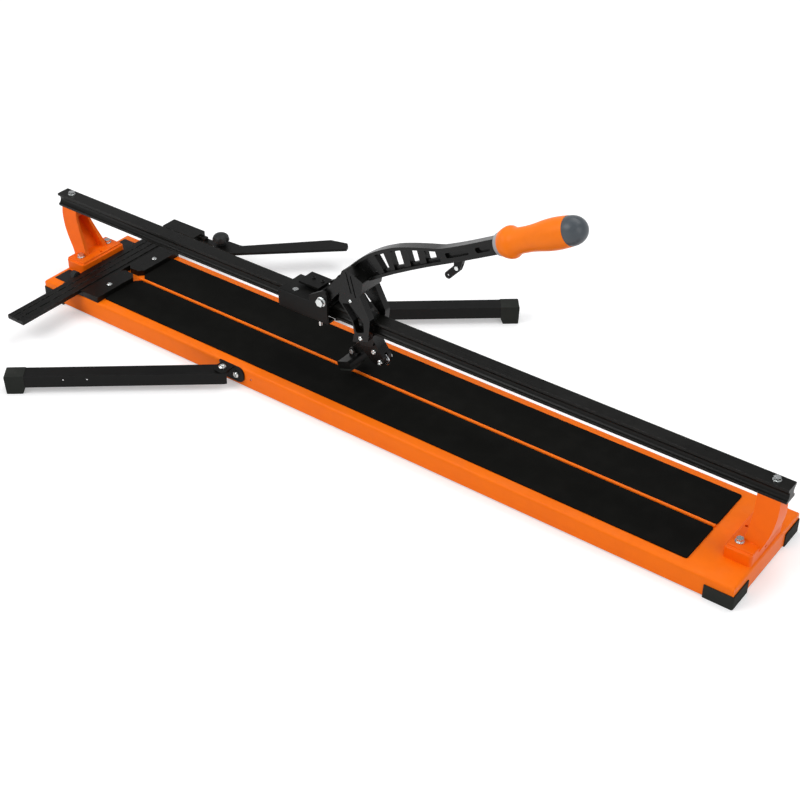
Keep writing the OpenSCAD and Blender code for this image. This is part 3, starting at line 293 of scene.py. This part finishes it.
@dataclass(frozen=True)
class Finish:
    """One finish of the tile cutter, as a material slot of the record names it."""

    slot: str
    colour: Rgb
    texture: Texture
    roughness: float
    relief: float
    metallic: float = 0.0
    specular: float = 0.5
    drift: float = 0.08
    # Strength and colour of the edge mask, which paints wear and a highlight along the edges.
    wear_and_highlight: float = 0.0
    wear_and_highlight_colour: Rgb = (0.5, 0.5, 0.5)
    dust: float = 0.03
    bevel: float = 0.4

    def material(self, groups: SurfaceGroups) -> bpy.types.Material:
        """Builds the material.

        Args:
            groups: The shared shader groups.

        Returns:
            A node-based material named after the slot.
        """
        made = bpy.data.materials.new(self.slot)
        made.use_nodes = True
        graph = Graph(made.node_tree)
        place = graph.add("ShaderNodeTexCoord").outputs["Object"]
        drift = self._group(graph, groups.drift, Place=place)
        wear_and_highlight = self._group(graph, groups.edge_wear_and_highlight, Place=place, Amount=self.wear_and_highlight)
        dust = self._group(graph, groups.dust, Place=place, Amount=self.dust)
        scale, stretch, detail = TEXTURES[self.texture]
        grain = self._group(graph, groups.grain, Place=place, Scale=scale, Stretch=stretch, Detail=detail)

        deep = (*[c * (1 - self.drift) for c in self.colour], 1.0)
        light = (*[min(1.0, c * (1 + self.drift)) for c in self.colour], 1.0)
        skin = graph.mix(drift, deep, light)
        # Edges take the edge colour: partly wear, partly a painted highlight.
        worn_and_highlit = graph.mix(wear_and_highlight, skin, (*self.wear_and_highlight_colour, 1.0))
        dusty = graph.mix(dust, worn_and_highlit, (*DUST_COLOUR, 1.0))
        slow = graph.math("MULTIPLY", graph.math("SUBTRACT", drift, 0.5), ROUGHNESS_DRIFT)
        fine = graph.math("MULTIPLY", graph.math("SUBTRACT", grain, 0.5), ROUGHNESS_GRAIN)
        rough = graph.math("ADD", graph.math("ADD", slow, self.roughness), fine, True)

        shader = graph.add("ShaderNodeBsdfPrincipled")
        graph.put(shader, Base_Color=dusty, Roughness=rough, Specular_IOR_Level=self.specular,
                  Metallic=self.metallic)
        bump = graph.add("ShaderNodeBump")
        graph.put(bump, Height=grain, Strength=1.0, Distance=self.relief * MM)
        graph.put(shader, Normal=bump.outputs[0])
        graph.put(graph.add("ShaderNodeOutputMaterial"), Surface=shader.outputs[0])
        return made

    @staticmethod
    def _group(graph: Graph, tree: bpy.types.NodeTree, **sockets: object) -> bpy.types.NodeSocket:
        """Places a shared group and returns its first output.

        Args:
            graph: The material's graph.
            tree: The group.
            **sockets: Values of the group's inputs.

        Returns:
            The group's first output socket.
        """
        node = graph.add("ShaderNodeGroup", node_tree=tree)
        graph.put(node, **sockets)
        return node.outputs[0]


BARE_STEEL = linear(150, 150, 148)
# Grey on the edges of black parts: partly bare metal, partly a painted edge highlight.
GREY_METAL_AND_HIGHLIGHT = linear(92, 92, 90)

FINISHES: tuple[Finish, ...] = (
    # The lighter orange on the edges of the orange parts is a painted highlight, broken up by noise like
    # wear.
    Finish("orange_paint", linear(255, 116, 6), Texture.ORANGE_PEEL, 0.40, 0.035, specular=0.14, drift=0.05,
           wear_and_highlight=0.35, wear_and_highlight_colour=linear(255, 158, 84), dust=0.02, bevel=0.7),
    Finish("orange_cast", linear(255, 106, 4), Texture.CAST, 0.40, 0.05, specular=0.17, drift=0.07,
           wear_and_highlight=0.40, wear_and_highlight_colour=linear(255, 160, 90), dust=0.02, bevel=1.0),
    Finish("mat_rubber", linear(15, 15, 13), Texture.PEBBLE, 0.86, 0.09, specular=0.07, drift=0.20,
           dust=0.004, bevel=0.7),
    Finish("foot_rubber", linear(40, 42, 39), Texture.PEBBLE, 0.78, 0.06, specular=0.12, drift=0.12,
           dust=0.02, bevel=0.8),
    # The rail's grey edge colour also paints the highlight line along its front top edge.
    Finish("black_rail", linear(15, 15, 13), Texture.DRAWN_X, 0.32, 0.03, specular=0.15, drift=0.20,
           wear_and_highlight=0.40, wear_and_highlight_colour=GREY_METAL_AND_HIGHLIGHT, dust=0.003, bevel=0.6),
    Finish("black_steel", linear(14, 14, 13), Texture.SATIN, 0.38, 0.03, specular=0.14, drift=0.20,
           wear_and_highlight=0.12, wear_and_highlight_colour=GREY_METAL_AND_HIGHLIGHT, dust=0.003, bevel=0.5),
    Finish("black_cast", linear(11, 11, 10), Texture.CAST, 0.27, 0.045, specular=0.22, drift=0.20,
           wear_and_highlight=0.22, wear_and_highlight_colour=GREY_METAL_AND_HIGHLIGHT, dust=0.002, bevel=0.9),
    Finish("zinc", linear(214, 217, 216), Texture.TURNED, 0.26, 0.02, metallic=1.0, drift=0.10, dust=0.01,
           bevel=0.25),
    Finish("spring_steel", linear(120, 120, 118), Texture.SATIN, 0.32, 0.01, metallic=1.0, drift=0.12,
           dust=0.0, bevel=0.0),
    Finish("wheel_steel", linear(200, 203, 205), Texture.TURNED, 0.20, 0.01, metallic=1.0, drift=0.06,
           dust=0.0, bevel=0.1),
    Finish("label_film", linear(16, 16, 17), Texture.SATIN, 0.30, 0.01, specular=0.24, drift=0.10,
           dust=0.004, bevel=0.0),
    Finish("knob_plastic", linear(40, 42, 42), Texture.SATIN, 0.50, 0.04, specular=0.22, drift=0.10,
           dust=0.01, bevel=0.5),
    Finish("collar_plastic", linear(160, 160, 164), Texture.SATIN, 0.36, 0.02, specular=0.40, drift=0.05,
           bevel=0.4),
    Finish("grip_plastic", linear(255, 124, 18), Texture.SATIN, 0.44, 0.05, specular=0.18, drift=0.05,
           dust=0.01, bevel=0.0),
    Finish("cap_plastic", linear(76, 82, 87), Texture.SATIN, 0.36, 0.03, specular=0.32, drift=0.10,
           dust=0.01, bevel=0.0),
)


class Finisher:
    """Puts the record's finishes on the frame's nodes and softens their edges."""

    CREASE = math.radians(32)
    FLAT = math.radians(0.4)
    WELD_REACH = 0.004
    LEAST_EDGE = 0.02
    FINE_EDGE = 0.5

    def __init__(self, frame: dict) -> None:
        """Builds the shared groups and every material.
        """
        groups = SurfaceGroups()
        self.smoothing = self._smoothing()
        self.nodes = frame["nodes"]
        self.finishes = {finish.slot: finish for finish in FINISHES}
        self.materials = {finish.slot: finish.material(groups) for finish in FINISHES}
        self.slot_of = {part["node"]: part["material_slot"] for part in frame["record"]["subparts"]}

    @staticmethod
    def _smoothing() -> bpy.types.NodeTree:
        """Builds the modifier graph that drops a mesh's stored normals and shades it smooth."""
        tree = bpy.data.node_groups.new("smooth_faces", "GeometryNodeTree")
        for way in ("INPUT", "OUTPUT"):
            tree.interface.new_socket(name="Geometry", in_out=way, socket_type="NodeSocketGeometry")
        graph = Graph(tree)
        start = graph.add("NodeGroupInput")
        bare = graph.put(graph.add("GeometryNodeRemoveAttribute"), Geometry=start.outputs[0],
                         Name="custom_normal")
        smooth = graph.put(graph.add("GeometryNodeSetShadeSmooth"), Geometry=bare.outputs[0])
        graph.put(graph.add("NodeGroupOutput"), Geometry=smooth.outputs[0])
        return tree

    def dress(self, name: str) -> None:
        """Gives one CAD node its material and fine edges."""
        piece = self.nodes[name]
        finish = self.finishes[self.slot_of[name]]
        for slot in piece.material_slots:
            slot.material = self.materials[finish.slot]
        self._soften(piece, finish.bevel)
        LOG.info("dressed %s in %s", name, finish.slot)

    def _soften(self, piece: bpy.types.Object, width: float) -> None:
        """Joins the node's facets and rounds its sharp edges, all with modifiers over the mesh as it is.

        Args:
            piece: The node's object.
            width: Width of the rounding in millimetres.
        """
        piece.modifiers.new("smooth_faces", "NODES").node_group = self.smoothing
        weld = piece.modifiers.new("join_facets", "WELD")
        weld.merge_threshold = self.WELD_REACH * MM
        flatten = piece.modifiers.new("flat_faces", "DECIMATE")
        flatten.decimate_type = "DISSOLVE"
        flatten.angle_limit = self.FLAT
        edges = piece.modifiers.new("fine_edges", "BEVEL")
        edges.width = max(width, self.LEAST_EDGE) * MM
        edges.segments = 2 if width < self.FINE_EDGE else 3
        edges.limit_method = "ANGLE"
        edges.angle_limit = self.CREASE
        edges.use_clamp_overlap = True
        edges.harden_normals = True


@dataclass
class Assembly:
    """A group of CAD nodes that are dressed together."""

    finisher: Finisher
    members: tuple[str, ...] = ()

    def build(self) -> None:
        """Dresses every member."""
        for name in self.members:
            self.finisher.dress(name)


@dataclass
class BaseTray(Assembly):
    """Folded tray with its channels, break ridge, mats and corner feet."""

    members: tuple[str, ...] = ("base_tray", "stiffener_channels", "break_ridge", "front_mat", "rear_mat",
                                "corner_feet")


@dataclass
class RailAndStands(Assembly):
    """Guide rail on its two cast stands, with their fasteners."""

    members: tuple[str, ...] = ("left_stand", "right_stand", "stand_bolts", "stand_nuts", "rail",
                                "rail_screws")


@dataclass
class FenceAndRuler(Assembly):
    """Fence plates, the sliding ruler bar, its bare label plates and the clamp knob."""

    members: tuple[str, ...] = ("fence_front_plate", "fence_rear_plate", "fence_screws", "ruler_guide",
                                "label_plates", "ruler_bar", "ruler_knob")


@dataclass
class SideStop(Assembly):
    """Stop block on the ruler's end with its swivelling arm and knob."""

    members: tuple[str, ...] = ("stop_block", "stop_pivot_stud", "stop_arm", "stop_knob")


@dataclass
class SupportArms(Assembly):
    """The two swing-out arms that carry a wide tile."""

    members: tuple[str, ...] = ("front_arm_bracket", "rear_arm_bracket", "bracket_screws",
                                "arm_pivot_bolts", "front_arm", "front_arm_foot", "rear_arm",
                                "rear_arm_foot")


@dataclass
class Carriage(Assembly):
    """Carriage that rolls on the rail, with its rollers, pivot bolt and spring."""

    members: tuple[str, ...] = ("carriage_body", "carriage_tab", "tab_screws", "pivot_bolt", "pivot_nut",
                                "return_spring", "roller_axles", "roller_front_left", "roller_front_right",
                                "roller_rear_left", "roller_rear_right")


@dataclass
class Lever(Assembly):
    """Cast lever with its grip, collar, cap and carrying catch."""

    members: tuple[str, ...] = ("lever_frame", "grip_collar", "grip", "grip_cap", "catch_lug", "catch_pin",
                                "catch_link")


@dataclass
class WheelAndBreaker(Assembly):
    """Holder, scoring wheel and breaker foot under the lever."""

    members: tuple[str, ...] = ("wheel_holder", "holder_screws", "wheel_axle", "scoring_wheel",
                                "breaker_pin", "breaker_foot", "breaker_pads")


@dataclass
class Studio:
    """Pale floor, soft lamps and the camera."""

    floor_size: float = 14.0
    floor_shade: float = 0.80
    near_glow: float = 0.34
    far_glow: float = 0.36
    glow_rise: tuple[float, float] = (1.1, 3.8)
    room_light: float = 0.42
    overhead: float = 0.30
    aim: tuple[float, float, float] = (0.0, 0.0, 0.1)
    camera_at: tuple[float, float, float] = (1.25008, -1.60325, 1.44603)
    camera_yaw: float = -36.797
    camera_pitch: float = 35.487
    lens: float = 67.67
    sensor: float = 36.0
    nearest: float = 0.05

    def build(self) -> None:
        """Makes the floor, the world, the lamps and the camera."""
        self._floor()
        self._world()
        self._lamp("key_lamp", (-1.3, -1.9, 2.3), (2.2, 1.5), 45.0)
        self._lamp("top_lamp", (0.2, 0.9, 2.6), (2.6, 1.2), 27.0)
        self._lamp("side_lamp", (2.3, -0.6, 1.5), (1.3, 1.3), 13.0)
        self._camera()

    @staticmethod
    def _seen_ray(graph: Graph) -> bpy.types.NodeSocket:
        """Mask of the rays that see the background: camera, glossy and transmission rays."""
        rays = graph.add("ShaderNodeLightPath")
        seen = graph.math("MAXIMUM", rays.outputs["Is Camera Ray"], rays.outputs["Is Glossy Ray"])
        return graph.math("MAXIMUM", seen, rays.outputs["Is Transmission Ray"])

    def _glow(self, graph: Graph) -> bpy.types.NodeSocket:
        """Strength of the floor's glow, which rises where the lamps no longer reach."""
        away = graph.put(graph.add("ShaderNodeVectorMath", operation="LENGTH"),
                         Vector=graph.add("ShaderNodeNewGeometry").outputs["Position"]).outputs["Value"]
        rise = graph.math("MULTIPLY", graph.spread(away, *self.glow_rise), self.far_glow)
        return graph.math("ADD", rise, self.near_glow)

    def _floor(self) -> None:
        """Lays the floor, a pale sheet that keeps the object's shadow."""
        mesh = bpy.data.meshes.new("floor")
        half = self.floor_size / 2
        rim = [(-half, -half, 0), (half, -half, 0), (half, half, 0), (-half, half, 0)]
        mesh.from_pydata(rim, [], [(0, 1, 2, 3)])
        floor = bpy.data.objects.new("floor", mesh)
        bpy.context.scene.collection.objects.link(floor)
        pale = bpy.data.materials.new("pale_floor")
        pale.use_nodes = True
        graph = Graph(pale.node_tree)
        shader = graph.put(graph.add("ShaderNodeBsdfPrincipled"), Base_Color=(*[self.floor_shade] * 3, 1),
                           Roughness=0.95, Specular_IOR_Level=0.0)
        glow = graph.put(graph.add("ShaderNodeEmission"), Color=(1, 1, 1, 1),
                         Strength=graph.math("MULTIPLY", self._seen_ray(graph), self._glow(graph)))
        both = graph.put(graph.add("ShaderNodeAddShader"), _0=shader.outputs[0], _1=glow.outputs[0])
        graph.put(graph.add("ShaderNodeOutputMaterial"), Surface=both.outputs[0])
        mesh.materials.append(pale)

    def _world(self) -> None:
        """Sets a soft even world, white to the camera and calmer overhead for gloss."""
        world = bpy.data.worlds.new("soft_room")
        bpy.context.scene.world = world
        world.use_nodes = True
        graph = Graph(world.node_tree)
        height = graph.put(graph.add("ShaderNodeSeparateXYZ"),
                           Vector=graph.add("ShaderNodeTexCoord").outputs["Generated"]).outputs["Z"]
        gloss = graph.add("ShaderNodeLightPath").outputs["Is Glossy Ray"]
        calm = graph.math("MULTIPLY", graph.spread(height, 0.02, 0.55), gloss)
        seen_colour = graph.mix(calm, (1, 1, 1, 1), (self.overhead, self.overhead, self.overhead + 0.01, 1))
        seen = graph.put(graph.add("ShaderNodeBackground"), Color=seen_colour, Strength=1.0)
        light = graph.put(graph.add("ShaderNodeBackground"), Color=(0.97, 0.98, 1.0, 1),
                          Strength=self.room_light)
        both = graph.put(graph.add("ShaderNodeMixShader"), _0=self._seen_ray(graph), _1=light.outputs[0],
                         _2=seen.outputs[0])
        graph.put(graph.add("ShaderNodeOutputWorld"), Surface=both.outputs[0])

    def _lamp(self, name: str, place: tuple[float, float, float], size: tuple[float, float],
              watts: float) -> None:
        """Hangs one soft box that looks at the middle of the object.

        Args:
            name: Name of the lamp.
            place: Where it hangs.
            size: Width and height of the box.
            watts: Its power.
        """
        lamp = bpy.data.lights.new(name, "AREA")
        lamp.shape = "RECTANGLE"
        lamp.size, lamp.size_y = size
        lamp.energy = watts
        holder = bpy.data.objects.new(name, lamp)
        holder.location = place
        towards = Vector(self.aim) - Vector(place)
        holder.rotation_euler = towards.to_track_quat("-Z", "Y").to_euler()
        bpy.context.scene.collection.objects.link(holder)

    def _camera(self) -> None:
        """Sets up the camera."""
        data = bpy.data.cameras.new("camera")
        data.lens = self.lens
        data.sensor_width = self.sensor
        data.clip_start = self.nearest
        camera = bpy.data.objects.new("camera", data)
        camera.location = self.camera_at
        yaw, pitch = math.radians(self.camera_yaw), math.radians(self.camera_pitch)
        forward = Vector((math.cos(pitch) * math.sin(yaw), math.cos(pitch) * math.cos(yaw),
                          -math.sin(pitch)))
        camera.rotation_euler = forward.to_track_quat("-Z", "Y").to_euler()
        bpy.context.scene.collection.objects.link(camera)
        bpy.context.scene.camera = camera


def main() -> None:
    """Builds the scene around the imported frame."""
    logging.basicConfig(level=logging.INFO, format="%(message)s")
    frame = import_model()
    bpy.context.scene.view_settings.view_transform = "Standard"
    Studio().build()
    finisher = Finisher(frame)
    for kind in (BaseTray, RailAndStands, FenceAndRuler, SideStop, SupportArms, Carriage, Lever,
                 WheelAndBreaker):
        LOG.info("building %s", kind.__name__)
        kind(finisher).build()


if __name__ == "__main__":
    main()
